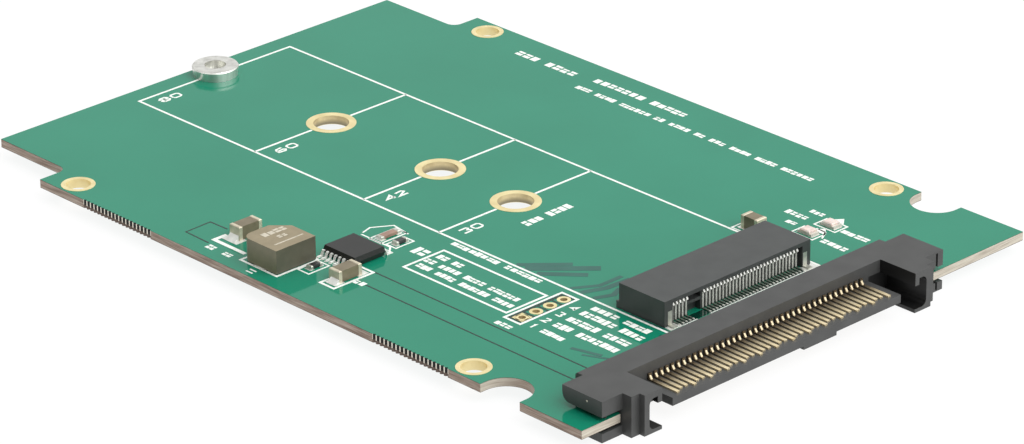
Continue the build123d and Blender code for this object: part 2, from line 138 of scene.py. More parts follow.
# Materials
class Paint:
    """A node material with helpers for its procedural parts."""

    def __init__(self, name, color, roughness, metallic=0.0, specular=0.5):
        self.material = bpy.data.materials.new(name)
        self.material.use_nodes = True
        self.tree = self.material.node_tree
        self.shader = self.tree.nodes["Principled BSDF"]
        self.shader.inputs["Base Color"].default_value = (*color, 1)
        self.shader.inputs["Roughness"].default_value = roughness
        self.shader.inputs["Metallic"].default_value = metallic
        self.shader.inputs["Specular IOR Level"].default_value = specular
        self.where = self.node("ShaderNodeTexCoord").outputs["Object"]

    def node(self, kind, **settings):
        made = self.tree.nodes.new(kind)
        for key, value in settings.items():
            setattr(made, key, value)
        return made

    def link(self, source, target):
        self.tree.links.new(source, target)

    def stretched(self, scale):
        mapping = self.node("ShaderNodeMapping")
        mapping.inputs["Scale"].default_value = scale
        self.link(self.where, mapping.inputs["Vector"])
        return mapping.outputs["Vector"]

    def noise(self, scale, detail=3.0, vector=None):
        made = self.node("ShaderNodeTexNoise")
        made.inputs["Scale"].default_value = scale
        made.inputs["Detail"].default_value = detail
        self.link(vector or self.where, made.inputs["Vector"])
        return made.outputs["Fac"]

    def ramp(self, factor, stops):
        made = self.node("ShaderNodeValToRGB")
        elements = made.color_ramp.elements
        while len(elements) < len(stops):
            elements.new(0.5)
        for element, (position, color) in zip(elements, stops):
            element.position = position
            element.color = (*color, 1)
        self.link(factor, made.inputs["Fac"])
        return made.outputs["Color"]

    def math(self, operation, a, b=None):
        made = self.node("ShaderNodeMath", operation=operation)
        for socket, value in zip(made.inputs, (a, b)):
            if isinstance(value, (int, float)):
                socket.default_value = value
            elif value is not None:
                self.link(value, socket)
        return made.outputs["Value"]

    def between(self, value, low, high):
        """1 where a value lies between two limits, else 0."""
        above = self.math("GREATER_THAN", value, low)
        return self.math("MULTIPLY", above, self.math("LESS_THAN", value, high))

    def blend(self, factor, a, b):
        made = self.node("ShaderNodeMix", data_type="RGBA")
        self.link(factor, made.inputs["Factor"])
        for socket, value in zip((made.inputs["A"], made.inputs["B"]), (a, b)):
            if isinstance(value, tuple):
                socket.default_value = (*value, 1)
            else:
                self.link(value, socket)
        return made.outputs["Result"]

    def range(self, factor, low, high):
        made = self.node("ShaderNodeMapRange")
        made.inputs["To Min"].default_value = low
        made.inputs["To Max"].default_value = high
        self.link(factor, made.inputs["Value"])
        return made.outputs["Result"]

    def axes(self, vector):
        made = self.node("ShaderNodeSeparateXYZ")
        self.link(vector, made.inputs["Vector"])
        return made.outputs

    def color(self, source):
        self.link(source, self.shader.inputs["Base Color"])

    def roughness(self, source):
        self.link(source, self.shader.inputs["Roughness"])

    def bump(self, height, strength, depth):
        made = self.node("ShaderNodeBump")
        made.inputs["Strength"].default_value = strength
        made.inputs["Distance"].default_value = depth
        self.link(height, made.inputs["Height"])
        self.link(made.outputs["Normal"], self.shader.inputs["Normal"])


def board_paint():
    """Green solder mask on both faces, bare glass-fibre layers on the edges, and cut perforations. Painted
    shade makes the side edges darker than the front edge and the bites near black.
    """
    paint = Paint("board", (0.01, 0.19, 0.1), 0.08, specular=0.42)
    cloud = paint.noise(60.0, 4.0)
    mask = paint.ramp(cloud, [(0.3, (0.004, 0.178, 0.103)), (0.7, (0.007, 0.197, 0.116))])
    layers = paint.noise(1.0, 5.0, paint.stretched((350.0, 350.0, 7000.0)))
    # Painted shade: the side edges get a darker fibre than the front edge, blended by which way each face
    # looks.
    side = paint.ramp(layers, [(0.3, (0.17, 0.115, 0.085)), (0.5, (0.31, 0.235, 0.185)),
                               (0.7, (0.46, 0.385, 0.32))])
    front = paint.ramp(layers, [(0.3, (0.28, 0.245, 0.195)), (0.5, (0.4, 0.36, 0.295)),
                                (0.7, (0.5, 0.47, 0.39))])
    normal = paint.axes(paint.node("ShaderNodeNewGeometry").outputs["Normal"])
    fibre = paint.blend(paint.math("ABSOLUTE", normal["Y"]), side, front)
    on_edge = paint.math("LESS_THAN", paint.math("ABSOLUTE", normal["Z"]), 0.5)
    where = paint.axes(paint.where)
    skin = paint.math("GREATER_THAN", where["Z"], TOP - MASK_SKIN)
    edge = paint.blend(skin, fibre, (0.02, 0.05, 0.03))
    foot = paint.math("LESS_THAN", where["Z"], BOTTOM + MASK_SKIN)
    edge = paint.blend(foot, edge, (0.07, 0.045, 0.035))
    rows = [paint.between(where["Y"], FRONT + low * MM, FRONT + high * MM) for low, high in BITE_ROWS]
    on_left = paint.math("LESS_THAN", where["X"], -HALF_WIDTH + BITE_DEPTH)
    in_row = paint.math("MULTIPLY", paint.math("ADD", *rows), on_left)
    # Painted shade: the walls of the bites are near black; the tabs between them are cream fibre.
    tooth = paint.math("GREATER_THAN", paint.math("ABSOLUTE", normal["X"]), 0.9)
    cut_edge_and_bite_shade = paint.blend(tooth, (0.012, 0.011, 0.01), (0.9, 0.85, 0.72))
    torn = paint.math("LESS_THAN", where["Z"], BOTTOM + TORN_LAYER)
    cut_edge_and_bite_shade = paint.blend(torn, cut_edge_and_bite_shade, (0.13, 0.09, 0.07))
    edge = paint.blend(in_row, edge, cut_edge_and_bite_shade)
    paint.color(paint.blend(on_edge, mask, edge))
    paint.roughness(paint.math("ADD", 0.07, paint.math("MULTIPLY", on_edge, 0.5)))
    paint.bump(paint.noise(2500.0, 2.0), 0.04, 0.02 * MM)
    return paint.material


def mask_paint(name, dark, light):
    """Mask over buried copper, darker than the rest; also used for a sheet of painted shade."""
    paint = Paint(name, light, 0.12, specular=0.45)
    paint.color(paint.ramp(paint.noise(300.0), [(0.3, dark), (0.7, light)]))
    return paint.material


def print_paint(name, light, dark, scale):
    """Matt ink, thinner in places."""
    paint = Paint(name, light, 0.5)
    paint.color(paint.ramp(paint.noise(scale, 5.0), [(0.25, dark), (0.5, light)]))
    return paint.material


def moulding_paint(name, color, roughness):
    """Black glass-filled moulding with a fine matt grain."""
    paint = Paint(name, color, roughness, specular=0.4)
    paint.color(moulding_grain(paint, color))
    return paint.material


def moulding_grain(paint, color):
    """Fine grain of a moulding, as a bump and as the colour that it gives back."""
    dark = tuple(0.8 * c for c in color)
    paint.bump(paint.noise(9000.0, 3.0), 0.2, 0.02 * MM)
    return paint.ramp(paint.noise(500.0, 4.0), [(0.3, dark), (0.7, color)])


def plug_paint(color, roughness):
    """Moulding of the plug, with painted shade that makes the inside of its two guide channels near black.
    """
    paint = Paint("plug_moulding", color, roughness, specular=0.4)
    grain = moulding_grain(paint, color)
    where = paint.axes(paint.where)
    across = paint.math("ABSOLUTE", paint.math("SUBTRACT", where["X"], PLUG_MIDDLE))
    along = paint.between(where["Y"], GUIDE_FRONT, GUIDE_REAR)
    channel = paint.math("MULTIPLY", paint.between(across, GUIDE_INNER, GUIDE_OUTER),
                         paint.math("LESS_THAN", where["Z"], GUIDE_TOP))
    side_way = paint.math("MULTIPLY", paint.between(across, TONGUE_END, GUIDE_OUTER),
                          paint.math("LESS_THAN", where["Z"], SIDE_WAY_TOP))
    # Painted shade: the channels and their side openings are darkened to near black.
    channel_shade = paint.math("MULTIPLY", paint.math("MAXIMUM", channel, side_way), along)
    paint.color(paint.blend(channel_shade, grain, tuple(0.12 * c for c in color)))
    return paint.material


def leg_paint():
    """Tin on the socket's legs, dark on the part of their feet that lies in shade."""
    paint = Paint("leg_tin", (0.72, 0.72, 0.67), 0.45, metallic=0.45)
    tin = paint.ramp(paint.noise(1500.0, 4.0), [(0.3, (0.58, 0.58, 0.53)), (0.65, (0.72, 0.72, 0.67))])
    where = paint.axes(paint.where)
    shaded = paint.math("MULTIPLY", paint.math("LESS_THAN", where["Z"], FOOT_TOP),
                        paint.math("GREATER_THAN", where["Y"], FOOT_SHADE))
    paint.color(paint.blend(shaded, tin, (0.13, 0.16, 0.13)))
    return paint.material


def ferrite_paint():
    """Grey-brown ferrite, with painted shade: darker on its sides than on top, and darkest in front."""
    paint = Paint("ferrite", (0.25, 0.205, 0.125), 0.42)
    grain = paint.noise(900.0, 5.0)
    # Lit and shaded copies of the ferrite, chosen by which way a face looks: the top is the lit one, and
    # the sides and front carry painted shade.
    top = paint.ramp(grain, [(0.3, (0.205, 0.168, 0.1)), (0.7, (0.25, 0.205, 0.125))])
    side = paint.ramp(grain, [(0.3, (0.14, 0.128, 0.075)), (0.7, (0.175, 0.158, 0.095))])
    front = paint.ramp(grain, [(0.3, (0.065, 0.062, 0.042)), (0.7, (0.085, 0.08, 0.054))])
    normal = paint.axes(paint.node("ShaderNodeNewGeometry").outputs["Normal"])
    up = paint.math("GREATER_THAN", normal["Z"], 0.5)
    ahead = paint.math("LESS_THAN", normal["Y"], -0.5)
    paint.color(paint.blend(up, paint.blend(ahead, side, front), top))
    paint.bump(paint.noise(8000.0, 3.0), 0.2, 0.015 * MM)
    return paint.material


def metal_paint(name, light, dark, roughness, scale=1500.0, metallic=1.0, uneven=0.06):
    """Plated or tinned metal, mottled and slightly uneven."""
    paint = Paint(name, light, roughness, metallic=metallic)
    mottle = paint.noise(scale, 4.0)
    paint.color(paint.ramp(mottle, [(0.3, dark), (0.65, light)]))
    paint.roughness(paint.range(mottle, roughness * 0.8, roughness * 1.3))
    paint.bump(paint.noise(scale * 3, 3.0), uneven, 0.01 * MM)
    return paint.material


def finger_paint():
    """Gold fingers, bright at the mouth of the plug, with painted shade that darkens them towards their
    roots.
    """
    paint = Paint("finger_gold", (0.95, 0.8, 0.5), 0.36, metallic=0.85)
    mottle = paint.noise(1500.0, 4.0)
    gold = paint.ramp(mottle, [(0.3, (0.9, 0.74, 0.44)), (0.65, (0.98, 0.84, 0.56))])
    # Painted shade: the gold darkens towards the roots, which lie under the housing's roof.
    back = paint.math("SUBTRACT", paint.axes(paint.where)["Y"], FINGER_SHADE_START)
    depth = paint.math("MINIMUM", paint.math("DIVIDE", back, FINGER_SHADE_LENGTH), FINGER_SHADE_MOST)
    paint.color(paint.blend(depth, gold, (0.09, 0.065, 0.045)))
    paint.roughness(paint.range(mottle, 0.29, 0.46))
    paint.bump(paint.noise(4500.0, 3.0), 0.06, 0.01 * MM)
    return paint.material


def barrel_paint():
    """Gold down the wall of a hole, with painted shade that darkens it towards its far end."""
    paint = Paint("barrel_gold", (0.74, 0.62, 0.36), 0.42, metallic=0.7)
    gold = paint.ramp(paint.noise(900.0, 5.0), [(0.3, (0.52, 0.42, 0.23)), (0.65, (0.74, 0.62, 0.36))])
    # Painted shade: the wall darkens with depth down the hole.
    down = paint.math("SUBTRACT", BARREL_SHADE_START, paint.axes(paint.where)["Z"])
    depth = paint.math("DIVIDE", down, BARREL_SHADE_DEPTH)
    paint.color(paint.blend(depth, gold, (0.27, 0.235, 0.155)))
    paint.bump(paint.noise(2500.0, 3.0), 0.12, 0.01 * MM)
    return paint.material


def turned_paint(name, light, dark, roughness):
    """Turned and plated metal, with painted highlights and reflections as soft streaks up its sides."""
    paint = Paint(name, light, roughness, metallic=0.9)
    # Painted highlights and reflections: light and dark streaks up the sides.
    highlight_streaks = paint.noise(1.0, 2.0, paint.stretched((900.0, 900.0, 60.0)))
    paint.color(paint.ramp(highlight_streaks, [(0.35, dark), (0.62, light)]))
    paint.roughness(paint.range(highlight_streaks, roughness * 1.4, roughness * 0.8))
    paint.bump(paint.noise(3000.0, 2.0), 0.04, 0.01 * MM)
    return paint.material


def ceramic_paint(name, light, dark, roughness):
    """Sintered ceramic, mottled and finely rough."""
    paint = Paint(name, light, roughness)
    paint.color(paint.ramp(paint.noise(900.0, 5.0), [(0.3, dark), (0.7, light)]))
    paint.bump(paint.noise(8000.0, 3.0), 0.2, 0.015 * MM)
    return paint.material


def lens_paint():
    """Milky resin that light enters a little."""
    paint = Paint("lens", (0.8, 0.66, 0.6), 0.18)
    paint.shader.inputs["Subsurface Weight"].default_value = 0.4
    paint.shader.inputs["Subsurface Radius"].default_value = (0.3 * MM, 0.2 * MM, 0.15 * MM)
    paint.color(paint.ramp(paint.noise(1200.0), [(0.3, (0.56, 0.44, 0.4)), (0.7, (0.72, 0.63, 0.58))]))
    return paint.material


BOARD = board_paint()
MASK_LINE = mask_paint("mask_line", (0.002, 0.024, 0.016), (0.003, 0.034, 0.022))
MASK_FILL = mask_paint("mask_fill", (0.01, 0.085, 0.065), (0.016, 0.108, 0.082))
PRINT = print_paint("white_print", (0.76, 0.78, 0.74), (0.6, 0.66, 0.6), 2000.0)
STAMP = print_paint("grey_print", (0.5, 0.46, 0.37), (0.36, 0.33, 0.25), 2500.0)
MOULDING = plug_paint((0.052, 0.053, 0.052), 0.42)
SOCKET = moulding_paint("socket_moulding", (0.049, 0.053, 0.052), 0.4)
EPOXY = moulding_paint("epoxy", (0.013, 0.0135, 0.0125), 0.35)
GOLD = metal_paint("gold", (0.95, 0.8, 0.5), (0.88, 0.71, 0.41), 0.36, metallic=0.88)
FINGER_GOLD = finger_paint()
BARREL_GOLD = barrel_paint()
BEND_GOLD = metal_paint("bend_gold", (0.7, 0.6, 0.4), (0.6, 0.5, 0.32), 0.5, metallic=0.3)
RING_GOLD = metal_paint("ring_gold", (0.87, 0.76, 0.44), (0.78, 0.65, 0.34), 0.42, 700.0, 0.75, 0.12)
TIN = metal_paint("tin", (0.6, 0.6, 0.54), (0.46, 0.46, 0.4), 0.38, metallic=0.7)
LEG_TIN = leg_paint()
LEAD_TIN = metal_paint("lead_tin", (0.86, 0.86, 0.82), (0.72, 0.72, 0.68), 0.38, metallic=0.25)
END_TIN = metal_paint("end_tin", (0.66, 0.6, 0.46), (0.5, 0.45, 0.34), 0.4, metallic=0.5)
SOLDER = metal_paint("solder", (0.8, 0.81, 0.77), (0.64, 0.65, 0.61), 0.4, 900.0, 0.5, 0.15)
NICKEL = turned_paint("nickel", (0.88, 0.88, 0.83), (0.64, 0.64, 0.6), 0.28)
PLATE = metal_paint("plate", (0.16, 0.14, 0.12), (0.1, 0.09, 0.08), 0.5)
FERRITE = ferrite_paint()
CERAMIC = ceramic_paint("ceramic", (0.17, 0.143, 0.088), (0.13, 0.105, 0.062), 0.35)
FUSE = ceramic_paint("fuse", (0.32, 0.2, 0.15), (0.22, 0.13, 0.1), 0.4)
GLAZE = ceramic_paint("glaze", (0.03, 0.03, 0.03), (0.015, 0.015, 0.015), 0.25)
BASE = ceramic_paint("light_base", (0.6, 0.57, 0.5), (0.4, 0.39, 0.34), 0.4)
LENS = lens_paint()

NODE_PAINTS = {
    "circuit_board": BOARD,
    "plug_housing": MOULDING,
    "plug_upper_contacts": FINGER_GOLD,
    "plug_lower_contacts": GOLD,
    "plug_hold_downs": PLATE,
    "socket_housing": SOCKET,
    "socket_first_contacts": LEG_TIN,
    "socket_second_contacts": LEG_TIN,
    "socket_tabs": TIN,
    "standoff": NICKEL,
    "standoff_screw": NICKEL,
    "inductor_body": FERRITE,
    "inductor_terminals": TIN,
    "regulator_body": EPOXY,
    "regulator_leads": LEAD_TIN,
    "input_capacitor_body": CERAMIC,
    "input_capacitor_ends": END_TIN,
    "output_capacitor_body": CERAMIC,
    "output_capacitor_ends": END_TIN,
    "socket_capacitor_body": CERAMIC,
    "socket_capacitor_ends": END_TIN,
    "fuse_body": FUSE,
    "fuse_ends": TIN,
    "resistor_bodies": GLAZE,
    "resistor_ends": TIN,
    "led_bases": BASE,
    "led_lenses": LENS,
}


def paint_nodes():
    """Gives each node of the solids its paint."""
    for name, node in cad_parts.items():
        node.data.materials.clear()
        node.data.materials.append(NODE_PAINTS[name])


# Mesh helpers
def add_piece(name, mesh, material):
    """Makes a piece from a mesh and fixes it to the part's one body."""
    piece = bpy.data.objects.new(name, mesh)
    bpy.context.scene.collection.objects.link(piece)
    mesh.materials.append(material)
    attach(piece, BODY)


class Sheet:
    """Collects shapes for one piece, most of them thin and flat on one face of the board.

    A place is an x and a distance from the board's front edge. Places and widths are in mm.
    """

    def __init__(self, height, base=None, down=False):
        self.mesh = bmesh.new()
        self.base = TOP if base is None else base
        self.step = -height if down else height

    def solid(self, outline):
        """Flat solid over a closed outline of (x, distance) points in mm."""
        low = [self.mesh.verts.new((x * MM, FRONT + y * MM, self.base)) for x, y in outline]
        high = [self.mesh.verts.new(v.co + Vector((0, 0, self.step))) for v in low]
        self.mesh.faces.new(list(reversed(low)))
        self.mesh.faces.new(high)
        for i in range(len(low)):
            j = (i + 1) % len(low)
            self.mesh.faces.new((low[i], low[j], high[j], high[i]))

    def box(self, x0, x1, y0, y1):
        self.solid([(x0, y0), (x1, y0), (x1, y1), (x0, y1)])

    def line(self, points, width, closed=False):
        """Line of even width along points, with mitred corners."""
        left, right = offset_line(points, width / 2, closed)
        count = len(points)
        for i in range(count if closed else count - 1):
            j = (i + 1) % count
            self.solid([right[i], right[j], left[j], left[i]])

    def frame(self, x0, x1, y0, y1, width):
        self.line([(x0, y0), (x1, y0), (x1, y1), (x0, y1)], width, closed=True)

    def ring(self, x, y, inner, outer, segments=RING_SEGMENTS):
        """Flat ring as one closed band of faces."""
        turns = [2 * math.pi * i / segments for i in range(segments)]
        rows = []
        for radius, height in ((inner, 0), (outer, 0), (outer, self.step), (inner, self.step)):
            rows.append([self.mesh.verts.new((x * MM + radius * MM * math.cos(t),
                                              FRONT + y * MM + radius * MM * math.sin(t),
                                              self.base + height)) for t in turns])
        for a, b in zip(rows, rows[1:] + rows[:1]):
            for i in range(segments):
                j = (i + 1) % segments
                self.mesh.faces.new((a[i], a[j], b[j], b[i]))

    def finish(self, name, material):
        bmesh.ops.recalc_face_normals(self.mesh, faces=self.mesh.faces)
        mesh = bpy.data.meshes.new(name)
        self.mesh.to_mesh(mesh)
        self.mesh.free()
        add_piece(name, mesh, material)


def offset_line(points, half, closed):
    """The line's points pushed out to both sides, so that its corners stay sharp."""
    points = [Vector(point) for point in points]
    count = len(points)
    sides = []
    for i in range(count if closed else count - 1):
        along = (points[(i + 1) % count] - points[i]).normalized()
        sides.append(Vector((-along.y, along.x)))
    if closed:
        pairs = [(sides[i - 1], sides[i]) for i in range(count)]
    else:
        pairs = list(zip([sides[0]] + sides, sides + [sides[-1]]))
    pushes = [(a + b) * (half / (1 + a.dot(b))) for a, b in pairs]
    left = [tuple(p + q) for p, q in zip(points, pushes)]
    right = [tuple(p - q) for p, q in zip(points, pushes)]
    return left, right


# Module lengths: the number at each hole, and the hole's distance
MODULE_LENGTHS = (("30", 43.8), ("42", 55.8), ("60", 73.8), ("80", 93.8))
MODULE_REAR = MODULE_LENGTHS[-1][1]

# Plated holes
MOUNT_PLACES = [(x, y) for x in (-30.86, 30.86) for y in (17.7, 80.8)]
MODULE_PLACES = [(0.0, y) for text, y in MODULE_LENGTHS[:-1]]
STANDOFF_PLACES = [(0.0, MODULE_REAR)]
HEADER_PLACES = [(-19.5 + 2.0 * i, 22.5) for i in range(4)]

# Places, radius of the hole, and radius of its ring. Then the copper's thickness in the hole.
HOLES = ((MOUNT_PLACES, 1.4, 1.9), (MODULE_PLACES, 2.05, 2.84), (STANDOFF_PLACES, 2.05, 2.5),
         (HEADER_PLACES, 0.42, 0.74))
BARREL_WALL = 0.02

# Square pad at pin 1: half its side, and width of its line
SQUARE_HALF = 0.68
SQUARE_LINE = 0.16


def hole_copper():
    """Rings on both faces and a thin barrel through each plated hole, and a square pad at pin 1."""
    upper = Sheet(COPPER_HEIGHT)
    lower = Sheet(COPPER_HEIGHT, BOTTOM, down=True)
    barrels = Sheet(TOP - BOTTOM, BOTTOM)
    corner_barrels = Sheet(TOP - BOTTOM, BOTTOM)
    for places, hole, ring in HOLES:
        walls = corner_barrels if places is MOUNT_PLACES else barrels
        for x, y in places:
            upper.ring(x, y, hole - BARREL_WALL, ring)
            lower.ring(x, y, hole - BARREL_WALL, ring)
            walls.ring(x, y, hole - BARREL_WALL, hole)
    x, y = HEADER_PLACES[0]
    upper.frame(x - SQUARE_HALF, x + SQUARE_HALF, y - SQUARE_HALF, y + SQUARE_HALF, SQUARE_LINE)
    upper.finish("hole_rings_top", RING_GOLD)
    lower.finish("hole_rings_bottom", RING_GOLD)
    barrels.finish("hole_barrels", BARREL_GOLD)
    corner_barrels.finish("corner_hole_barrels", RING_GOLD)


# Contacts: X places, worked out as the connectors' pitches give them
UPPER_TAILS = [-20.8 + 0.8 * i for i in range(40)]
POWER_TAILS = [-21.4 + 1.27 * i for i in range(15)]
SIGNAL_TAILS = [2.93 + 1.27 * i for i in range(7)]
SIDE_TAILS = [-2.55 + 0.8 * i for i in range(6)]
SOCKET_FEET = [0.5 * (i - 18.5) for i in range(38) if not 5 <= i < 9]

# Rows of pads for them: X places, left and right side from there, distance limits. The socket's
# second row has one pad between each two feet of the first.
PAD_ROWS_TOP = (
    (UPPER_TAILS, -0.26, 0.26, 6.6, 8.45),
    (SOCKET_FEET[:-1], 0.1, 0.4, 17.3, 18.05),
)
PAD_ROWS_BOTTOM = (
    (POWER_TAILS + SIGNAL_TAILS, -0.42, 0.42, 6.6, 8.5),
    (SIDE_TAILS, -0.26, 0.26, 6.6, 8.5),
)

# Pads of the regulator's leads: X and distance places, half their length and half their width
LEAD_COLUMNS = (-24.55, -18.75)
LEAD_ROWS = [45.9 + 0.65 * (i - 3.5) for i in range(8)]
LEAD_PAD_X = 0.45
LEAD_PAD_Y = 0.18

# Pads of the chip parts, the inductor, the lights and the socket's tabs: x and distance limits
CHIP_PADS = (
    (-28.85, -27.3, 56.7, 59.05), (-25.5, -24.2, 56.8, 59.0),
    (-28.25, -26.9, 41.55, 43.2), (-24.9, -23.5, 41.55, 43.2),
    (-17.35, -16.6, 46.4, 47.6), (-15.0, -14.25, 46.4, 47.6),
    (-27.6, -27.0, 46.25, 47.15), (-26.2, -25.6, 46.25, 47.15),
    (-17.1, -16.5, 44.35, 45.25), (-15.7, -15.1, 44.35, 45.25),
    (12.2, 14.0, 19.1, 20.1), (12.2, 14.0, 21.3, 22.3),
    (15.85, 17.15, 14.75, 15.35), (15.85, 17.15, 16.45, 17.05),
    (18.95, 20.25, 14.35, 14.95), (18.95, 20.25, 16.05, 16.65),
    (-10.85, -9.15, 9.5, 11.0), (9.15, 11.2, 8.95, 10.6),
    (-31.0, -29.4, 49.7, 51.6), (-26.7, -25.1, 49.7, 51.6),
)


def solder_pads():
    """Tinned pads under every lead, foot and chip end, on both faces."""
    upper = Sheet(COPPER_HEIGHT)
    lower = Sheet(COPPER_HEIGHT, BOTTOM, down=True)
    for sheet, rows in ((upper, PAD_ROWS_TOP), (lower, PAD_ROWS_BOTTOM)):
        for places, left, right, y0, y1 in rows:
            for x in places:
                sheet.box(x + left, x + right, y0, y1)
    for y in LEAD_ROWS:
        for x in LEAD_COLUMNS:
            upper.box(x - LEAD_PAD_X, x + LEAD_PAD_X, y - LEAD_PAD_Y, y + LEAD_PAD_Y)
    for x0, x1, y0, y1 in CHIP_PADS:
        upper.box(x0, x1, y0, y1)
    upper.finish("pads_top", SOLDER)
    lower.finish("pads_bottom", SOLDER)


# Solder that climbs an end of a capacitor: x of that end, x of the pad's end, distances, height
FILLETS = (
    (-28.0, -28.7, 57.2, 58.6, 0.6), (-24.8, -24.35, 57.2, 58.6, 0.6),
    (-27.5, -28.05, 41.75, 43.05, 0.45), (-24.3, -23.7, 41.75, 43.05, 0.45),
    (-17.2, -17.35, 46.6, 47.4, 0.25), (-14.4, -14.25, 46.6, 47.4, 0.25),
)


def wedge(mesh, corners):
    """Three-sided solid between two end triangles."""
    first, second = [[mesh.verts.new(point) for point in end] for end in corners]
    mesh.faces.new(first)
    mesh.faces.new(list(reversed(second)))
    for i in range(3):
        j = (i + 1) % 3
        mesh.faces.new((first[i], second[i], second[j], first[j]))


def solder_fillets():
    """Wedges of solder at the ends of the capacitors."""
    sheet = Sheet(COPPER_HEIGHT)
    for at_part, at_pad, y0, y1, height in FILLETS:
        ends = []
        for y in (y0, y1):
            ends.append([place(at_part, y), place(at_pad, y), place(at_part, y, height * MM)])
        wedge(sheet.mesh, ends)
    sheet.finish("solder_fillets", SOLDER)


# Inner side of the contacts' bends: half its width, distance limits, height limits
PLUG_BEND = (0.12, 2.38, 2.72, 0.5, 1.0)
LEG_BEND = (0.1, 10.66, 10.88, 1.95, 2.42)


def bends(name, places, bend, material):
    """Sloping inner side of each contact's bend, at a row of X places."""
    half, y0, y1, z0, z1 = bend
    sheet = Sheet(COPPER_HEIGHT)
    for x in places:
        ends = []
        for side in (x - half, x + half):
            ends.append([place(side, y0, z0 * MM), place(side, y1, z0 * MM), place(side, y1, z1 * MM)])
        wedge(sheet.mesh, ends)
    sheet.finish(name, material)


def upright_box(mesh, low, high):
    """Box between two corners."""
    corners = []
    for z in (low.z, high.z):
        for y in (low.y, high.y):
            corners += [mesh.verts.new((x, y, z)) for x in (low.x, high.x)]
    for face in ((0, 2, 3, 1), (4, 5, 7, 6), (0, 1, 5, 4), (2, 6, 7, 3), (0, 4, 6, 2), (1, 3, 7, 5)):
        mesh.faces.new([corners[i] for i in face])


# Fronts of the left ears: middle and half width in X, distance limits, height limits of each
EAR_X = -29.4
EAR_HALF = 0.15
EAR_FRONT = -0.146
EAR_BACK = 0.28
EAR_HEIGHTS = ((0.5, 2.1), (-2.15, -1.3))


def ear_fronts():
    """Closed fronts of the left ears, where the photo shows no slit for the hold-down plate."""
    sheet = Sheet(COPPER_HEIGHT)
    for z0, z1 in EAR_HEIGHTS:
        low = place(EAR_X - EAR_HALF, EAR_FRONT, z0 * MM)
        high = place(EAR_X + EAR_HALF, EAR_BACK, z1 * MM)
        upright_box(sheet.mesh, low, high)
    sheet.finish("ear_fronts", MOULDING)


# Mark of the moulding gate on the side of the left ear: place, radius, how deep its rim sits in
# the ear and how far its tip stands out
GATE_X = -30.35
GATE_Y = 1.96
GATE_Z = 1.63
GATE_R = 0.16 * MM
GATE_SUNK = 0.02 * MM
GATE_TIP = 0.06 * MM
GATE_SIDES = 10


def gate_mark():
    """Low ten-sided cone that points out of the ear."""
    sheet = Sheet(COPPER_HEIGHT)
    centre = place(GATE_X, GATE_Y, GATE_Z * MM)
    rim = []
    for i in range(GATE_SIDES):
        turn = 2 * math.pi * i / GATE_SIDES
        step = Vector((GATE_SUNK, GATE_R * math.cos(turn), GATE_R * math.sin(turn)))
        rim.append(sheet.mesh.verts.new(centre + step))
    tip = sheet.mesh.verts.new(centre + Vector((-GATE_TIP, 0, 0)))
    sheet.mesh.faces.new(list(reversed(rim)))
    for i in range(GATE_SIDES):
        sheet.mesh.faces.new((rim[i - 1], rim[i], tip))
    sheet.finish("gate_mark", STAMP)


# White print: widths of its lines, and width, gap and line width of its digits
LINE = 0.3
THIN = 0.2
DIGIT_WIDTH = 1.15
DIGIT_GAP = 0.5
DIGIT_LINE = 0.24

# Lines of each digit, on a square from 0 to 1
DIGIT_STROKES = {
    "0": [[(0, 0.2), (0.2, 0), (0.8, 0), (1, 0.2), (1, 0.8), (0.8, 1), (0.2, 1), (0, 0.8), (0, 0.2)]],
    "1": [[(0.25, 0.8), (0.5, 1), (0.5, 0)]],
    "2": [[(0, 0.9), (0.8, 1), (1, 0.7), (0, 0), (1, 0)]],
    "3": [[(0, 1), (0.9, 1), (1, 0.75), (0.7, 0.5), (1, 0.25), (0.9, 0), (0, 0)]],
    "4": [[(0.8, 0), (0.8, 1), (0, 0.3), (1, 0.3)]],
    "6": [[(0.9, 1), (0.2, 0.9), (0, 0.5), (0, 0.1), (0.8, 0), (1, 0.3), (0.8, 0.5), (0, 0.4)]],
    "8": [[(0.2, 0), (0.8, 0), (1, 0.25), (0, 0.75), (0.2, 1), (0.8, 1), (1, 0.75), (0, 0.25), (0.2, 0)]],
}


def turned(start, end, u, v):
    """Point u along and v to the left of a line between two places."""
    along = (Vector(end) - Vector(start)).normalized()
    point = Vector(start) + along * u + Vector((-along.y, along.x)) * v
    return tuple(point)


def number(sheet, text, start, end, height, width=DIGIT_WIDTH, stroke=DIGIT_LINE):
    """Plain number that starts at a place and runs towards another."""
    for i, digit in enumerate(text):
        left = i * (width + DIGIT_GAP)
        for points in DIGIT_STROKES[digit]:
            sheet.line([turned(start, end, left + u * width, v * height) for u, v in points], stroke)


# Blocks of small print: limits of their widths as shares of the pitch, then, as shares of the
# height, limits of their feet, their heads and the middle of the split ones, and the split's gap
BLOCK_WIDTHS = (0.72, 0.9)
BLOCK_FEET = (0, 0.12)
BLOCK_HEADS = (0.85, 1.0)
BLOCK_MIDDLES = (0.42, 0.5)
SPLIT_GAP = 0.16

# Share of the blocks that are split
SPLIT_SHARE = 0.45


